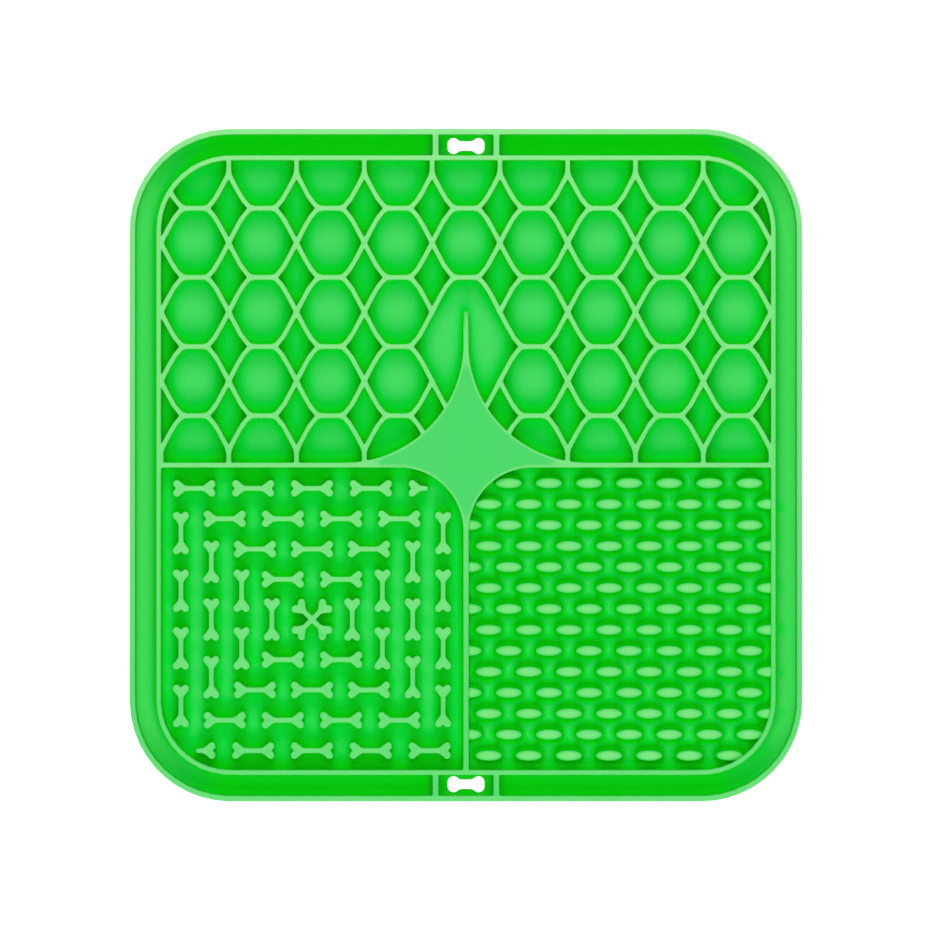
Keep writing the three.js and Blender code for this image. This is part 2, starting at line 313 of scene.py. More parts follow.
def honeycomb(x, y):
    """Distances to three families of the honeycomb's walls, those that rise to the right, those
    that fall, and the bars with the stubs, each the least over those next to the point."""
    edge = np.rint(x / CELL_WIDE + COLUMNS / 2)
    off_x = x - (edge - COLUMNS / 2) * CELL_WIDE
    near_row = np.rint((y - FIRST_CROSSING_Y) / CELL_TALL)
    off_y = y - FIRST_CROSSING_Y - near_row * CELL_TALL
    step = np.where(off_y > 0, 1, -1)
    families = {1: np.full(x.shape, FAR), -1: np.full(x.shape, FAR)}
    for ahead in (0, 1):
        row = near_row + ahead * step
        from_row = off_y - ahead * step * CELL_TALL
        for side in (1, -1):
            for rise in (1, -1):
                column = edge if side > 0 else edge - 1
                stands = bar_stands(column, row if rise > 0 else row - 1)
                wall = np.where(stands, leaning_wall(side * off_x, rise * from_row), FAR)
                families[side * rise] = np.minimum(families[side * rise], wall)
    column = np.rint(x / CELL_WIDE + (COLUMNS - 1) / 2)
    row = np.rint((y - FIRST_BAR_Y) / CELL_TALL)
    past_end = np.maximum(np.abs(x - (column - (COLUMNS - 1) / 2) * CELL_WIDE) - BAR_HALF_LONG, 0)
    bar = np.hypot(past_end, y - FIRST_BAR_Y - row * CELL_TALL)
    bar = np.where(bar_stands(column, row), bar, FAR)
    low_stub = np.hypot(off_x, np.maximum(y - FIRST_CROSSING_Y, 0))
    high_stub = np.hypot(off_x, np.maximum(LAST_CROSSING_Y - y, 0))
    return families[1], families[-1], np.minimum.reduce([bar, low_stub, high_stub])


def free_corner(x, y, radius):
    """Distance to the edge of a free quarter plane whose corner is an arc: radius less the way from
    the arc's centre."""
    return radius - np.hypot(np.maximum(radius - x, 0), np.maximum(radius - y, 0))


def star(x, y):
    """Distance to the star with its spike and both dividers. Each quarter is a free corner."""
    round_end = SPIKE_TOP - SPIKE_HALF
    upper = free_corner(np.abs(x) - SPIKE_HALF, y - ACROSS_HALF, STAR_UPPER_R)
    upper = np.where(y > round_end, np.hypot(x, y - round_end) - SPIKE_HALF, upper)
    lower = free_corner(np.abs(x) - DOWN_HALF, -y - ACROSS_HALF, STAR_LOWER_R)
    return np.where(y > 0, upper, lower)


def nub(x, y):
    """Distance to a nub's foot, near its outline: the gauge is the root of the sum of powers of x
    and y as shares of the nub's half sizes, and the distance is what the gauge has over 1, divided
    by the gauge's slope."""
    half_wide = np.where(y > 0, NUB_HALF_WIDE + NUB_LEAN, NUB_HALF_WIDE)
    share_x = np.abs(x) / NUB_HALF_LONG
    share_y = np.abs(y) / half_wide
    gauge = (share_x ** NUB_POWER + share_y ** NUB_POWER) ** (1 / NUB_POWER) + TINY
    steep_x = share_x ** (NUB_POWER - 1) / NUB_HALF_LONG
    steep_y = share_y ** (NUB_POWER - 1) / half_wide
    return (gauge - 1) / (np.hypot(steep_x, steep_y) / gauge ** (NUB_POWER - 1) + TINY)


def nub_rows(x, y):
    """Distance to the nearest nub of the nearest row and of the rows beside it. Odd rows step half
    a pitch."""
    nearest = np.full(x.shape, FAR)
    for step in (-1, 0, 1):
        row = np.clip(np.rint((FIRST_NUB[1] - y) / NUB_ROW_PITCH) + step, 0, NUB_ROWS - 1)
        from_first = x - FIRST_NUB[0] - row % 2 * NUB_PITCH / 2
        column = np.clip(np.rint(from_first / NUB_PITCH), 0, NUBS_A_ROW - 1)
        there = nub(from_first - column * NUB_PITCH, y - FIRST_NUB[1] + row * NUB_ROW_PITCH)
        nearest = np.minimum(nearest, there)
    return nearest


def walls(p):
    """Clearance from the standing walls, less than nothing inside them: the blended least of rim,
    ribs, inner wall, star with dividers, and the honeycomb's three families."""
    x = p[..., 0]
    y = p[..., 1]
    out = reach(x, y)
    field = out < WALL_MIDDLE
    gutter = (out > WALL_MIDDLE) & (out < RIM_MIDDLE)
    rising, falling, bars = (d - WALL_THICK / 2 for d in honeycomb(x, y))
    distances = [
        np.abs(out - RIM_MIDDLE) - RIM_THICK / 2,
        np.abs(out - WALL_MIDDLE) - WALL_THICK / 2,
        np.where(gutter, np.abs(np.abs(x) - RIB_FROM_MIDDLE) - RIB_THICK / 2, FAR),
        np.where(field, star(x, y), FAR),
    ]
    distances += [np.where(field & (y > 0), d, FAR) for d in (rising, falling, bars)]
    return blended(distances, BLEND)


def bone(x, y, lobe_x, half=False):
    """Distance to a bone along X: a shaft, and at each end two arms at 45 degrees with round lobes.
    A half bone has only its right end, on a short shaft."""
    fork = lobe_x - BONE_LOBE_Y
    start = HALF_BONE_END + BONE_SHAFT_HALF if half else -fork
    side = x if half else np.abs(x)
    shaft = capsule(x, y, start, 0, fork, 0, BONE_SHAFT_HALF)
    arms = [capsule(side, rise * y, fork, 0, lobe_x, BONE_LOBE_Y, BONE_LOBE_R) for rise in (1, -1)]
    return blended([shaft, *arms], BONE_BLEND)


def spread(count, pitch):
    """Evenly spaced places about zero."""
    return (np.arange(count) - (count - 1) / 2) * pitch


def bone_places():
    """Rows of place, angle in quarter turns and whether it is a half bone, for each bone."""
    rows = []
    for ring, (out, row_pitch) in enumerate(BONE_RINGS, start=1):
        for side in (-1, 1):
            last = ring if side > 0 else 0
            for i, along in enumerate(spread(ring + 1, row_pitch)):
                halved = ring == len(BONE_RINGS) and i == last
                rows.append((along, side * out, 2 if side > 0 else 0, halved))
            for along in spread(ring, COLUMN_PITCH):
                rows.append((side * out, along, 1, False))
    return rows


def bones(p):
    """Clearance from the bones: the least over all of them, each in its own turned frame."""
    x = p[..., 0] - BONE_FIELD[0]
    y = p[..., 1] - BONE_FIELD[1]
    along = (x + y) * np.sqrt(0.5)
    across = (y - x) * np.sqrt(0.5)
    crossed = [bone(a, b, CROSSED_BONE_LOBE_X) for a, b in ((along, across), (across, along))]
    nearest = blended(crossed, BONE_BLEND)
    for place_x, place_y, quarter, halved in bone_places():
        dx = x - place_x
        dy = y - place_y
        turned = {0: (dx, dy), 1: (dy, dx), 2: (-dx, -dy)}[quarter]
        nearest = np.minimum(nearest, bone(*turned, BONE_LOBE_X, halved))
    return nearest


def forms(p):
    """Clearance from all standing forms that are level with the rim: walls and bones."""
    clear = walls(p)
    quarter = (p[..., 0] < 0) & (p[..., 1] < 0)
    clear[quarter] = np.minimum(clear[quarter], bones(p[quarter]))
    return clear


def floor_round_holes(p):
    """Clearance inside the hanging holes, less than nothing in the floor round them: a bone-shaped
    hole is a straight waist blended with an upright round slot at each end."""
    x = np.abs(p[..., 0])
    y = np.abs(p[..., 1]) - GUTTER_MIDDLE
    slot = capsule(x, y, HOLE_LOBE_X, -HOLE_LOBE_Y, HOLE_LOBE_X, HOLE_LOBE_Y, HOLE_LOBE_R)
    waist = capsule(x, y, 0, 0, HOLE_LOBE_X, 0, HOLE_WAIST_HALF)
    return -blended([slot, waist], HOLE_BLEND)


def slope(clearance, p):
    """The direction in which the clearance grows, from its differences over a short step."""
    gains = [clearance(p + step) - clearance(p - step) for step in SLOPE_STEP * np.eye(2)]
    return np.stack(gains, axis=-1) / (2 * SLOPE_STEP)


def settled(clearance, p, level, rounds):
    """Points moved along the slope until their clearance is the level, by Newton's steps."""
    for _ in range(rounds):
        way = slope(clearance, p)
        p = p + way * ((level - clearance(p)) / (way ** 2).sum(axis=-1))[..., None]
    return p


# A grid cell's corners inside the solid, as a sum of 1, 2, 4 and 8 round the cell, with the side
# where the outline enters the cell and the side where it leaves: 0 below, 1 right, 2 above, 3 left
CELL_CASES = (
    (1, 0, 3), (2, 1, 0), (3, 1, 3), (4, 2, 1), (5, 0, 3), (5, 2, 1), (6, 2, 0), (7, 2, 3),
    (8, 3, 2), (9, 0, 2), (10, 1, 0), (10, 3, 2), (11, 1, 2), (12, 3, 1), (13, 0, 1), (14, 3, 0),
)


def sampled(clearance, half_x, low_y, high_y):
    """The places of an even grid and the clearance there."""
    xs = np.arange(-half_x, half_x + GRID, GRID)
    ys = np.arange(low_y, high_y + GRID, GRID)
    places = np.stack(np.meshgrid(xs, ys), axis=-1)
    return places, clearance(places)


def crossings(places, value):
    """Where the value passes zero on the lines of a grid, and for each such point the next one
    along the outline, with the solid on the left."""
    inside = (value < 0).astype(int)
    number = np.arange(value.size).reshape(value.shape)
    upright = number + value.size
    sides = (number[:-1, :-1], upright[:-1, 1:], number[1:, :-1], upright[:-1, :-1])
    case = inside[:-1, :-1] + 2 * inside[:-1, 1:] + 4 * inside[1:, 1:] + 8 * inside[1:, :-1]
    start = np.concatenate([sides[enter][case == kind] for kind, enter, leave in CELL_CASES])
    stop = np.concatenate([sides[leave][case == kind] for kind, enter, leave in CELL_CASES])
    order = np.argsort(start)
    start = start[order]
    following = np.searchsorted(start, stop[order])
    first = start % value.size
    second = first + np.where(start < value.size, 1, value.shape[1])
    value = value.ravel()
    places = places.reshape(-1, 2)
    share = value[first] / (value[first] - value[second])
    return places[first] + share[:, None] * (places[second] - places[first]), following


def outlines(places, value):
    """Closed outlines of the solid. Each point learns its outline's lowest number, and its steps to
    that point, by looking twice as far ahead at each round."""
    points, following = crossings(places, value)
    number = np.arange(len(points))
    rounds = range(len(points).bit_length())
    label = number.copy()
    jump = following
    for _ in rounds:
        label = np.minimum(label, label[jump])
        jump = jump[jump]
    steps = (label != number).astype(int)
    jump = np.where(label == number, number, following)
    for _ in rounds:
        steps = steps + steps[jump]
        jump = jump[jump]
    order = np.lexsort((-steps, label))
    ends = np.flatnonzero(np.diff(label[order])) + 1
    return np.split(points[order], ends)


def area(line):
    """Signed area of a closed outline, by the shoelace formula."""
    ahead = np.roll(line, -1, axis=0)
    return 0.5 * np.sum(line[:, 0] * ahead[:, 1] - line[:, 1] * ahead[:, 0])


def split_at(lines):
    """Where each outline but the first starts once they are stacked."""
    return np.cumsum([len(line) for line in lines])[:-1]


def effort(line, way):
    """Steps that each piece of a closed outline is worth: length over STEP_LONG, or over STEP_STAR
    beside the star, and turning over STEP_TURN."""
    heading = np.arctan2(way[:, 1], way[:, 0])
    turn = np.abs((np.roll(heading, -1) - heading + np.pi) % (2 * np.pi) - np.pi)
    length = np.linalg.norm(np.roll(line, -1, axis=0) - line, axis=1)
    x, y = line.T
    by_star = (star(x, y) < BY_STAR) & (np.maximum(np.abs(x), np.abs(y)) < STAR_UPPER_R)
    return length / np.where(by_star, STEP_STAR, STEP_LONG) + turn / STEP_TURN


def straightest(pieces):
    """Number of the point in the middle of a closed outline's stretch of the least effort."""
    return sum(np.roll(pieces, shift) for shift in range(-CALM, CALM + 1)).argmin()


def spaced(line, pieces, start, count):
    """A closed outline with this many new points, from the old one nearest the start, with the same
    effort between each two."""
    first = np.linalg.norm(line - start, axis=1).argmin()
    line = np.roll(line, -first, axis=0)
    worth = np.concatenate([[0], np.cumsum(np.roll(pieces, -first))])
    at = np.linspace(0, worth[-1], count, endpoint=False)
    closed = np.vstack([line, line[:1]])
    return np.column_stack([np.interp(at, worth, closed[:, k]) for k in (0, 1)])


def main_outline(clearance, grid, level):
    """The outline of the largest solid form at a level, with well spaced points."""
    places, value = grid
    line = max(outlines(places, value - level), key=area)
    line = settled(clearance, line, level, FIRST_ROUNDS)
    pieces = effort(line, slope(clearance, line))
    line = spaced(line, pieces, line[0], int(np.ceil(pieces.sum())))
    return settled(clearance, line, level, LAST_ROUNDS)


def stacked_outlines(clearance, grid, levels):
    """The outlines on which the clearance is each of the levels, with points that match from level
    to level: each outline's points start beside the same straight stretch and take the same effort.
    The outlines themselves are matched by centre and size."""
    places, value = grid
    starts = None
    stack = {}
    for level in (0, *levels):
        lines = outlines(places, value - level)
        points = settled(clearance, np.vstack(lines), level, FIRST_ROUNDS)
        ways = np.split(slope(clearance, points), split_at(lines))
        lines = np.split(points, split_at(lines))
        pieces = [effort(line, way) for line, way in zip(lines, ways)]
        marks = np.array([[*line.mean(axis=0), np.cbrt(area(line))] for line in lines])
        if starts is None:
            order = np.argsort(marks[:, 2])
            base = marks[order]
            starts = [lines[i][straightest(pieces[i])] for i in order]
            counts = [int(np.ceil(pieces[i].sum())) for i in order]
        order = np.linalg.norm(base[:, None] - marks, axis=2).argmin(axis=1)
        if len(set(order)) != len(lines):
            raise ValueError(f"outlines at level {level} don't match")
        matched = zip(order, starts, counts)
        lines = [spaced(lines[i], pieces[i], start, count) for i, start, count in matched]
        points = settled(clearance, np.vstack(lines), level, LAST_ROUNDS)
        stack[level] = np.split(points, split_at(lines))
    return stack


def round_profile(radius, steps):
    """A quarter circle from flat to upright, as rows of level and drop. They are rounded, so that a
    level finds its outlines in a stack."""
    angle = np.linspace(0, np.pi / 2, steps + 1)
    return np.column_stack([radius * (np.sin(angle) - 1), radius * (1 - np.cos(angle))]).round(6)


def wall_profile():
    """Rows of level and height down a wall: its round top edge, its side and its round foot."""
    top = round_profile(TOP_ROUND, TOP_STEPS)
    foot = round_profile(FOOT_ROUND, FOOT_STEPS)[::-1]
    down = np.column_stack([top[:, 0], MAT_HEIGHT - top[:, 1]])
    up = np.column_stack([DRAFT - foot[:, 0], FLOOR + foot[:, 1]])
    return np.vstack([down, up[np.argsort(-up[:, 1])]])


def edge_profile():
    """Rows of level and height down the outside: round top edge, side, and round bottom edge."""
    top = round_profile(TOP_ROUND, TOP_STEPS)
    bottom = round_profile(BOTTOM_ROUND, BOTTOM_STEPS)[::-1]
    down = np.column_stack([top[:, 0], MAT_HEIGHT - top[:, 1]])
    return np.vstack([down, bottom])


def hole_profile():
    """Rows of level and height down a hanging hole, round at the floor and at the bottom."""
    edge = round_profile(HOLE_ROUND, HOLE_STEPS)
    down = np.column_stack([edge[:, 0], FLOOR - edge[:, 1]])
    return np.vstack([down, edge[::-1]])


class Skin:
    """The mat's surface as it grows: its points, its faces, and the points in flat faces."""

    def __init__(self):
        self.points = []
        self.faces = []
        self.level = []
        self.count = 0

    def add_rings(self, rings):
        """Joins each ring of points to the next by quads, and returns the rings' numbers."""
        number = self.count + np.arange(rings.shape[0] * rings.shape[1]).reshape(rings.shape[:2])
        self.points.append(rings.reshape(-1, 3))
        self.count += number.size
        ahead = np.roll(number, -1, axis=1)
        quads = np.stack([number[:-1], number[1:], ahead[1:], ahead[:-1]], axis=-1)
        self.faces.append(quads.reshape(-1, 4))
        return number

    def add_sides(self, stack, profile, chosen):
        """Carries a profile along the chosen outlines of a stack. Returns the numbers of the first
        and of the last rings."""
        firsts = []
        lasts = []
        for i in chosen:
            rings = [np.insert(stack[level][i], 2, height, axis=1) for level, height in profile]
            number = self.add_rings(np.stack(rings))
            firsts.append(number[0])
            lasts.append(number[-1])
        return firsts, lasts

    def add_fan(self, ring, height, facing):
        """Closes a ring with triangles to one point in its middle."""
        middle = np.vstack(self.points)[ring, :2].mean(axis=0)
        peak = self.add_loose(middle[None], height)
        fan = np.column_stack([ring, np.roll(ring, -1), np.full(len(ring), peak[0])])
        self.faces.append(fan if facing > 0 else fan[:, ::-1])

    def add_loose(self, points, height):
        """Adds points that lie in a flat at this height, and returns their numbers."""
        self.points.append(np.insert(points, 2, height, axis=1))
        self.count += len(points)
        return self.count - len(points) + np.arange(len(points))

    def add_flat(self, rings, facing=1, inside=()):
        """Fills what lies between flat outlines: triangles inside an odd number of them are kept.
        Points inside the flat become corners of its triangles too."""
        points = np.vstack(self.points)[:, :2]
        numbers = np.concatenate([*rings, *inside])
        ends = np.cumsum([len(ring) for ring in rings])
        loops = [list(range(end - len(ring), end)) for ring, end in zip(rings, ends)]
        corners = [tuple(map(float, p)) for p in points[numbers]]
        turns = [1 if area(points[ring]) > 0 else -1 for ring in rings]
        turned = [loop[::turn] for loop, turn in zip(loops, turns)]
        found = delaunay_2d_cdt(corners, [], turned, 1, APART)
        places, _, triangles, origins, _, owners = found
        if len(places) != len(corners) or any(len(o) != 1 for o in origins):
            raise ValueError("outlines of a flat touch or cross")
        odd = np.array([len(o) % 2 == 1 for o in owners])
        kept = numbers[np.array([o[0] for o in origins])[np.array(triangles)[odd]]]
        corner = points[kept]
        upward = np.cross(corner[:, 1] - corner[:, 0], corner[:, 2] - corner[:, 0]) > 0
        wanted = np.where((upward == (facing > 0))[:, None], kept, kept[:, ::-1])
        self.faces.append(wanted)
        self.level.append((numbers, facing))


def nub_centres():
    """Centres of the nubs in the stepped rows, but for those that the star covers: they are the
    places from which the nub's end reaches clear of the walls."""
    column, row = np.meshgrid(np.arange(NUBS_A_ROW), np.arange(NUB_ROWS))
    x = FIRST_NUB[0] + (column + (row % 2) / 2) * NUB_PITCH
    y = FIRST_NUB[1] - row * NUB_ROW_PITCH
    places = np.stack([x, y], axis=-1).reshape(-1, 2)
    ends = [places + (side * NUB_HALF_LONG, 0) for side in (-1, 1)]
    seen = [(walls(end) > 0) & (reach(*end.T) < FIELD) for end in ends]
    return places[seen[0] | seen[1]]


def nub_rings():
    """Rings of points down the nubs, as rows of each nub's points and a height. The top is a dome
    of scaled power ellipses that rises as the root of 1 - s ^ power. The side runs down to the
    foot, whose far half is drawn out by NUB_LEAN, and the foot is round. Points stay within the
    walls round them."""
    angle = np.arange(NUB_SIDES) * 2 * np.pi / NUB_SIDES
    unit = np.column_stack([np.cos(angle), np.sin(angle)])
    top = np.sign(unit) * np.abs(unit) ** (2 / NUB_POWER) * (NUB_HALF_LONG, NUB_HALF_WIDE)
    drawn_out = np.where(unit[:, 1] > 0, 1 + NUB_LEAN / NUB_HALF_WIDE, 1)
    foot = top * np.column_stack([np.ones(NUB_SIDES), drawn_out])
    across = np.roll(foot, -1, axis=0) - np.roll(foot, 1, axis=0)
    outward = np.column_stack([across[:, 1], -across[:, 0]])
    outward /= np.linalg.norm(outward, axis=1, keepdims=True)
    rings = []
    for scale in NUB_DOME_RINGS:
        rings.append((scale * top, NUB_TOP + NUB_DOME * (np.sqrt(1 - scale ** NUB_DOME_POWER) - 1)))
    side = NUB_TOP - NUB_DOME - FLOOR - NUB_FOOT
    rings.append((top + (foot - top) * NUB_EDGE / side, NUB_TOP - NUB_DOME - NUB_EDGE))
    for level, drop in round_profile(NUB_FOOT, NUB_FOOT_STEPS)[::-1]:
        rings.append((foot + outward * (NUB_FOOT + level), FLOOR + NUB_FOOT - drop))
    centres = nub_centres()[:, None]
    least = (0, -np.inf)
    most = (WALL_MIDDLE, np.inf)
    return [(np.clip(centres + outline, least, most), z) for outline, z in rings]


def add_nubs(skin):
    """The nubs. Those clear of the walls stand on the floor, and the numbers of the points round
    each of their feet are returned. The others are let into the walls and the floor, with a closed
    root, and the places on the floor just outside their feet are returned."""
    rings = nub_rings()
    clear = walls(rings[-1][0]).min(axis=1) > NUB_CLEAR
    feet = []
    for i, free in enumerate(clear):
        levels = [*rings] if free else [*rings, (rings[-1][0], FLOOR - NUB_ROOT)]
        ring = np.stack([np.insert(p[i], 2, z, axis=1) for p, z in levels])
        number = skin.add_rings(ring)
        skin.add_fan(number[0], NUB_TOP, 1)
        if free:
            feet.append(number[-1])
        else:
            skin.add_fan(number[-1], FLOOR - NUB_ROOT, -1)
            skin.level.append((number[-2], 1))
    let_in = rings[-1][0][~clear]
    middle = let_in.mean(axis=1, keepdims=True)
    outside = (middle + NUB_OUTSIDE * (let_in - middle)).reshape(-1, 2)
    return feet, outside[forms(outside) > FLOOR_GRID / 3]


def smooth(share):
    """Eases a share from 0 to 1 in and out."""
    share = np.clip(share, 0, 1)
    return share * share * (3 - 2 * share)


def all_forms(p):
    """Clearance from everything that stands on the floor."""
    clear = forms(p)
    x, y = p.T
    quarter = (x > 0) & (y < 0) & (reach(x, y) < WALL_MIDDLE)
    clear[quarter] = np.minimum(clear[quarter], nub_rows(x[quarter], y[quarter]))
    return clear


def way_open(p, heading):
    """How far one can go from points in a heading before something stands in the way, up to
    WAY_MOST: each stride is as long as the clearance, so none passes through a wall."""
    gone = np.zeros(len(p))
    for _ in range(STRIDES):
        gone += np.clip(all_forms(p + gone[:, None] * np.array(heading)), 0, WAY_MOST)
    return np.minimum(gone, WAY_MOST)


def openness(p):
    """How open the floor lies, from 0 to 1, which sets its painted shade: the weighted mean, over
    the headings, of the way's square as a share of itself plus the half hidden way's square. Nubs
    hide less than walls."""
    headings, weights = zip(*HEADINGS)
    ways = np.stack([way_open(p, heading) for heading in headings]) ** 2
    by_nubs = (p[:, 0] > 0) & (p[:, 1] < 0) & (reach(p[:, 0], p[:, 1]) < FIELD)
    half_hidden = np.where(by_nubs, NUB_HIDDEN, HALF_HIDDEN)
    return np.average(ways / (ways + half_hidden ** 2), axis=0, weights=weights)


def shaded_places(p):
    """The places whose painted shade points take: their own, or the gutter's middle for those
    beyond it, as the rim throws no shade."""
    beyond = np.maximum(reach(*p.T) - GUTTER_MIDDLE, 0)
    return p - beyond[:, None] * slope(lambda q: reach(*q.T), p)


def bulge(beyond, radius):
    """How far an arc of the star stands off its arm: the radius less the root of what the square
    of the radius has over the square of the part of it left past the place."""
    left = np.clip(radius - beyond, 0, radius)
    return radius - np.sqrt(radius ** 2 - left ** 2)


def arm_width(x, y):
    """Half the star's measure at a place, upright or level, whichever is less."""
    x = np.abs(x)
    bulges = bulge(x - SPIKE_HALF, STAR_UPPER_R) + bulge(x - DOWN_HALF, STAR_LOWER_R)
    upright = ACROSS_HALF + bulges / 2
    above = SPIKE_HALF + bulge(y - ACROSS_HALF, STAR_UPPER_R)
    below = DOWN_HALF + bulge(-y - ACROSS_HALF, STAR_LOWER_R)
    return np.minimum(upright, np.where(y > 0, above, below))


def star_points():
    """Points of an even grid on the star's top, well inside its edge."""
    steps = np.arange(-STAR_UPPER_R, STAR_UPPER_R, FLOOR_GRID)
    p = np.stack(np.meshgrid(steps, steps), axis=-1).reshape(-1, 2)
    return p[star(p[:, 0], p[:, 1]) < STAR_INSET - FLOOR_GRID / 2]


def floor_points():
    """Points of an even grid on the floor, clear of all forms and holes."""
    steps = np.arange(-HALF_SIDE, HALF_SIDE, FLOOR_GRID)
    p = np.stack(np.meshgrid(steps, steps), axis=-1).reshape(-1, 2)
    hole = (np.abs(p[:, 0]) < RIB_FROM_MIDDLE) & (np.abs(p[:, 1]) > WALL_OUTSIDE)
    inside = (reach(p[:, 0], p[:, 1]) < RIM_MIDDLE) & ~hole
    p = p[inside]
    x, y = p.T
    by_nub = (x > 0) & (y < 0) & (nub_rows(x, y) < NUB_FOOT + FLOOR_GRID / 3)
    return p[(forms(p) > FLOOR_GRID / 2) & ~by_nub]


def lowered(points):
    """The points after the spike's tip is ramped to the floor."""
    x, y, z = points.T
    tip = (y > SPIKE_TOP - 2 * SPIKE_RAMP) & (y < SPIKE_TOP + RAMP_HALF_WIDE)
    tip &= (np.abs(x) < RAMP_HALF_WIDE) & (z > FLOOR)
    ramp = np.where(tip, smooth((SPIKE_TOP + RAMP_PAST - y) / SPIKE_RAMP), 1)
    return np.column_stack([x, y, FLOOR + (z - FLOOR) * ramp])


def mat_skin():
    """The whole closed surface: sides along every outline, nubs, and the three levels of flats."""
    skin = Skin()
    span = HALF_SIDE + GRID_MARGIN
    profile = wall_profile()
    outside_profile = edge_profile()
    down_hole = hole_profile()
    hole_levels = {level for level, height in down_hole}
    levels = {level for level, height in [*profile, *outside_profile]}
    grid = sampled(forms, span, -span, span)
    stack = stacked_outlines(forms, grid, levels)
    outside = len(stack[0]) - 1
    tops, floors = skin.add_sides(stack, profile, range(outside))
    outside_tops, bottoms = skin.add_sides(stack, outside_profile, [outside])
    half_hole = HOLE_LOBE_X + HOLE_LOBE_R + GRID_MARGIN
    for middle in (-GUTTER_MIDDLE, GUTTER_MIDDLE):
        low_y = middle - GUTTER_WIDE / 2
        high_y = middle + GUTTER_WIDE / 2
        near = sampled(floor_round_holes, half_hole, low_y, high_y)
        hole = stacked_outlines(floor_round_holes, near, hole_levels)
        hole_tops, hole_bottoms = skin.add_sides(hole, down_hole, [0])
        floors += hole_tops
        bottoms += hole_bottoms
    feet, by_feet = add_nubs(skin)
    floors += feet
    inset = main_outline(forms, grid, STAR_INSET)
    inside = [skin.add_loose(points, MAT_HEIGHT) for points in (inset, star_points())]
    skin.add_flat(tops + outside_tops, inside=inside)
    inside = [skin.add_loose(points, FLOOR) for points in (floor_points(), by_feet)]
    skin.add_flat(floors, inside=inside)
    skin.add_flat(bottoms, facing=-1)
    return skin


def on_nubs(points):
    """True for points of the nubs, from their feet to their tops."""
    x, y, z = points.T
    in_quarter = (x >= 0) & (y < 0) & (reach(x, y) < WALL_MIDDLE + TINY)
    return in_quarter & (z < NUB_TOP + TINY) & (nub_rows(x, y) < TOP_ROUND)


def painted_highlight_share(points):
    """The painted highlight of each point: eased in over the top edges, as a share that grows with
    how much the wall crosses Y and with Y, nothing on the star's wide parts, and the square of the
    share of the dome's height on nubs."""
    x, y, z = points.T
    high = smooth((z - MAT_HEIGHT + HIGHLIGHT_DEEP) / TOP_ROUND)
    nub_high = np.clip((z - NUB_TOP + NUB_DOME) / NUB_DOME, 0, 1) ** 2
    wide = smooth((arm_width(x, y) - ARM_PALE) / (ARM_PLAIN - ARM_PALE))
    on_star = smooth(star(x, y) / STAR_INSET) * wide
    way = slope(forms, points[:, :2])
    across = np.abs(way[:, 1]) / (np.hypot(*way.T) + TINY)
    highlight = HIGHLIGHT_WALLS + HIGHLIGHT_ACROSS * across + HIGHLIGHT_BACK * y / HALF_SIDE
    return np.where(on_nubs(points), nub_high * HIGHLIGHT_NUBS, high * (1 - on_star) * highlight)


def painted_shade_share(points):
    """Each point's place in the painted shade tones: openness on the floor and just over it, with
    the sign turned in the gutter, one value on tops, one on the outside and underneath, else zero."""
    x, y, z = points.T
    out = reach(x, y)
    on_dome = on_nubs(points) & (z > NUB_TOP - NUB_DOME - TINY)
    tone = np.where(on_dome | (z > MAT_HEIGHT - TOP_ROUND - TINY), TOP_OPEN, 0)
    low = (z > FLOOR - TINY) & (z < FLOOR + FOOT_TALL) & (out < RIM_MIDDLE)
    tone[low] = openness(shaded_places(points[low, :2]))
    tone[low & (out > WALL_MIDDLE)] *= -1
    outer = (out > RIM_MIDDLE) & (z < MAT_HEIGHT - TOP_ROUND + TINY)
    tone[outer | (z < FLOOR - TINY)] = OUTER_TONE
    return tone


def mat_mesh():
    """The skin as a Blender mesh. Points in flat faces get the flat's own normal, and each point
    keeps its painted highlight and its place in the painted shade tones."""
    skin = mat_skin()
    points = np.vstack(skin.points)
    mesh = bpy.data.meshes.new("lick_mat")
    faces = [face for block in skin.faces for face in block.tolist()]
    mesh.from_pydata((lowered(points) * MM).tolist(), [], faces)
    mesh.validate()
    mesh.polygons.foreach_set("use_smooth", np.ones(len(mesh.polygons), bool))
    mesh.update()
    normals = np.empty(len(mesh.vertices) * 3)
    mesh.vertex_normals.foreach_get("vector", normals)
    normals = normals.reshape(-1, 3)
    for numbers, facing in skin.level:
        normals[numbers] = (0, 0, facing)
    mesh.normals_split_custom_set_from_vertices(normals.tolist())
    paint(mesh, EDGE, painted_highlight_share(points))
    paint(mesh, OPEN, painted_shade_share(points))
    return mesh


def paint(mesh, name, values):
    """Keeps a number for each point of a mesh under a name."""
    mesh.attributes.new(name, "FLOAT", "POINT").data.foreach_set("value", values)


def add_mat():
    """The visual mat, in place of its plain solid."""
    mat = bpy.data.objects.new("lick_mat", mat_mesh())
    bpy.context.scene.collection.objects.link(mat)
    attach(mat, "root")
    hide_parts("mat")
    return mat


def node(tree, kind, **values):
    """A shader node with its inputs and settings given by name."""
    made = tree.nodes.new(kind)
    for name, value in values.items():
        label = name.replace("_", " ")
        if label in made.inputs:
            made.inputs[label].default_value = value
        else:
            setattr(made, name, value)
    return made


def noise(tree, place, scale, detail):
    """Noise over the object's own coordinates."""
    made = node(tree, "ShaderNodeTexNoise", Scale=scale, Detail=detail, Roughness=NOISE_ROUGH)
    tree.links.new(place, made.inputs["Vector"])
    return made.outputs["Fac"]


def ranged(tree, value, low, high, to_low, to_high):
    """A value carried linearly from one range to another and kept within it."""
    made = tree.nodes.new("ShaderNodeMapRange")
    tree.links.new(value, made.inputs["Value"])
    numbers = {"From Min": low, "From Max": high, "To Min": to_low, "To Max": to_high}
    for socket, number in numbers.items():
        made.inputs[socket].default_value = number
    return made.outputs["Result"]


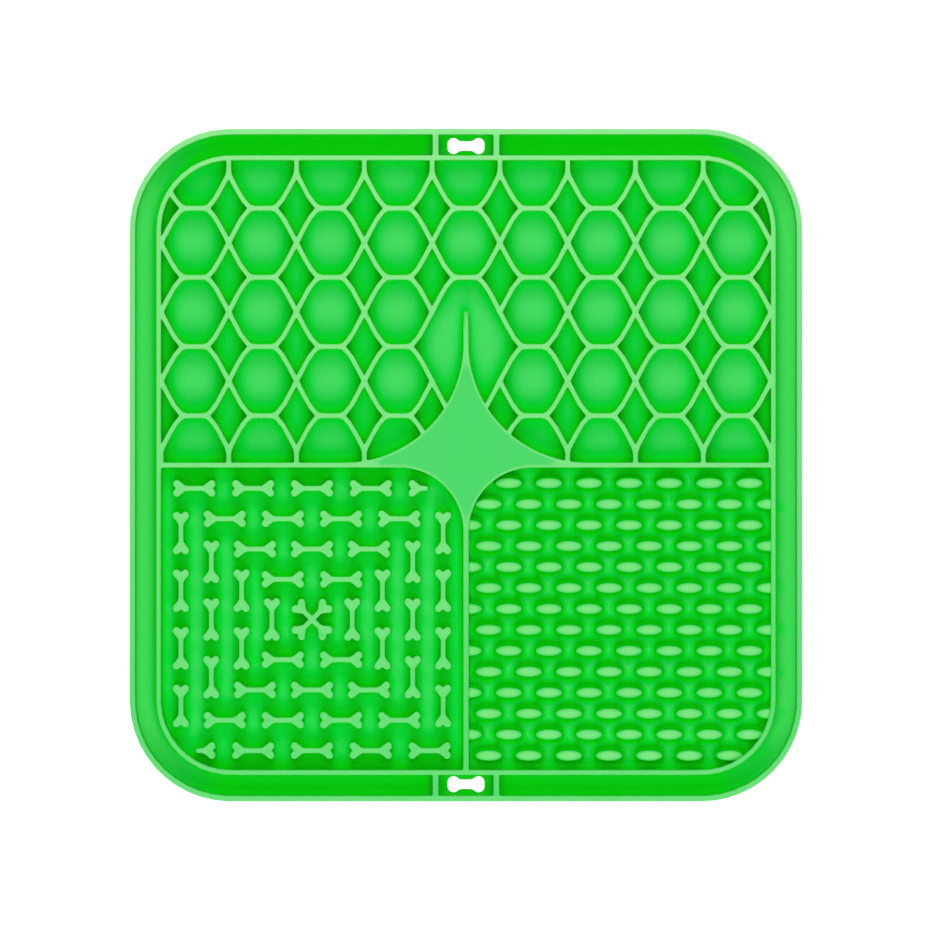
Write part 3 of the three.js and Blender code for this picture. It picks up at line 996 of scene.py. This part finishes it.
def mixed(tree, share, first, second):
    """A colour between two, each a plain colour or another node's."""
    made = node(tree, "ShaderNodeMix", data_type="RGBA")
    tree.links.new(share, made.inputs["Factor"])
    sockets = [socket for socket in made.inputs if socket.type == "RGBA"]
    for socket, colour in zip(sockets, (first, second)):
        if isinstance(colour, tuple):
            socket.default_value = colour
        else:
            tree.links.new(colour, socket)
    return [socket for socket in made.outputs if socket.type == "RGBA"][0]


def ramped(tree, share, tones):
    """A colour carried linearly through rows of share and colour."""
    made = tree.nodes.new("ShaderNodeValToRGB")
    tree.links.new(share, made.inputs["Fac"])
    stops = made.color_ramp.elements
    while len(stops) < len(tones):
        stops.new(1)
    for stop, (position, colour) in zip(stops, tones):
        stop.position = position
        stop.color = colour
    return made.outputs["Color"]


def silicone():
    """Satin green silicone: fine mould grain, faint clouds in the colour and the gloss, painted
    shade and light by how open the floor lies, a painted lighter tone on high parts, and a painted
    highlight on the edges, whose gloss is a little smoother."""
    material = bpy.data.materials.new("green_silicone")
    material.use_nodes = True
    tree = material.node_tree
    shader = tree.nodes["Principled BSDF"]
    place = tree.nodes.new("ShaderNodeTexCoord").outputs["Object"]
    edge = node(tree, "ShaderNodeAttribute", attribute_name=EDGE).outputs["Fac"]
    # Painted shade: the floor's colour by how open it lies
    painted_floor_light = node(tree, "ShaderNodeAttribute", attribute_name=OPEN).outputs["Fac"]
    clouds = noise(tree, place, CLOUD_SCALE, CLOUD_DETAIL)
    fine = noise(tree, place, GRAIN_SCALE, GRAIN_DETAIL)
    height = tree.nodes.new("ShaderNodeSeparateXYZ")
    tree.links.new(place, height.inputs["Vector"])
    # Painted light: higher points are painted towards the lighter top tone
    high = ranged(tree, height.outputs["Z"], LIT_TOP_FROM * MM, MAT_HEIGHT * MM, 0, 1)
    tones = [((1 + opened) / 2, colour) for opened, colour in PAINTED_SHADE_TONES]
    floor = ramped(tree, ranged(tree, painted_floor_light, -1, 1, 0, 1), tones)
    shade = mixed(tree, high, floor, GREEN_LIT_TOP)
    # Painted highlight on top edges and nub domes
    shade = mixed(tree, edge, shade, GREEN_HIGHLIGHT)
    cloudy = ranged(tree, clouds, CLOUD_SHADE_FROM, CLOUD_SHADE_TO, 0, CLOUD_SHADE)
    shade = mixed(tree, cloudy, shade, GREEN_DEEP)
    tree.links.new(shade, shader.inputs["Base Color"])
    gloss = node(tree, "ShaderNodeMath", operation="SUBTRACT")
    rough = ranged(tree, clouds, CLOUD_ROUGH_FROM, CLOUD_ROUGH_TO, ROUGH_LEAST, ROUGH_MOST)
    tree.links.new(rough, gloss.inputs[0])
    tree.links.new(ranged(tree, edge, 0, 1, 0, EDGE_GLOSS), gloss.inputs[1])
    tree.links.new(gloss.outputs["Value"], shader.inputs["Roughness"])
    bump = node(tree, "ShaderNodeBump", Strength=GRAIN_STRENGTH, Distance=GRAIN_DEPTH)
    tree.links.new(fine, bump.inputs["Height"])
    tree.links.new(bump.outputs["Normal"], shader.inputs["Normal"])
    shader.inputs["IOR"].default_value = SILICONE_IOR
    shader.inputs["Specular IOR Level"].default_value = SPECULAR
    return material


def add_stage():
    """A plain pale floor that glows softly under the mat."""
    bpy.ops.mesh.primitive_plane_add(size=STAGE_SIDE, location=(0, 0, -STAGE_DROP))
    floor = bpy.context.object
    floor.name = "studio_floor"
    material = bpy.data.materials.new("pale_floor")
    material.use_nodes = True
    shader = material.node_tree.nodes["Principled BSDF"]
    shader.inputs["Base Color"].default_value = STAGE_TONE
    shader.inputs["Roughness"].default_value = STAGE_ROUGH
    shader.inputs["Specular IOR Level"].default_value = STAGE_SPECULAR
    shader.inputs["Emission Color"].default_value = WHITE
    shader.inputs["Emission Strength"].default_value = STAGE_GLOW
    floor.data.materials.append(material)


def add_softbox(name, place, size, power):
    """An even area light aimed at the middle of the mat, unseen by the camera."""
    light = bpy.data.lights.new(name, "AREA")
    light.shape = "RECTANGLE"
    light.size, light.size_y = size
    light.energy = power
    lamp = bpy.data.objects.new(name, light)
    lamp.location = place
    lamp.rotation_euler = Vector(place).to_track_quat("Z", "Y").to_euler()
    lamp.visible_camera = False
    bpy.context.scene.collection.objects.link(lamp)


def add_world():
    """White all round: bright to the camera, and a softer fill as light."""
    world = bpy.data.worlds.new("white_studio")
    world.use_nodes = True
    tree = world.node_tree
    seen = tree.nodes.new("ShaderNodeLightPath").outputs["Is Camera Ray"]
    strength = ranged(tree, seen, 0, 1, WORLD_FILL, 1)
    background = tree.nodes["Background"]
    background.inputs["Color"].default_value = WHITE
    tree.links.new(strength, background.inputs["Strength"])
    bpy.context.scene.world = world


def add_camera():
    """Straight above the middle of the view, far off with a long lens."""
    data = bpy.data.cameras.new("camera")
    data.lens = data.sensor_width * CAMERA_AWAY / VIEW_WIDE
    camera = bpy.data.objects.new("camera", data)
    camera.location = (*CAMERA_OVER, MAT_HEIGHT * MM + CAMERA_AWAY)
    bpy.context.scene.collection.objects.link(camera)
    bpy.context.scene.camera = camera


mat = add_mat()
mat.data.materials.append(silicone())
add_stage()
for name, place, size, power in SOFTBOXES:
    add_softbox(name, place, size, power)
add_world()
add_camera()
bpy.context.scene.view_settings.view_transform = "Standard"
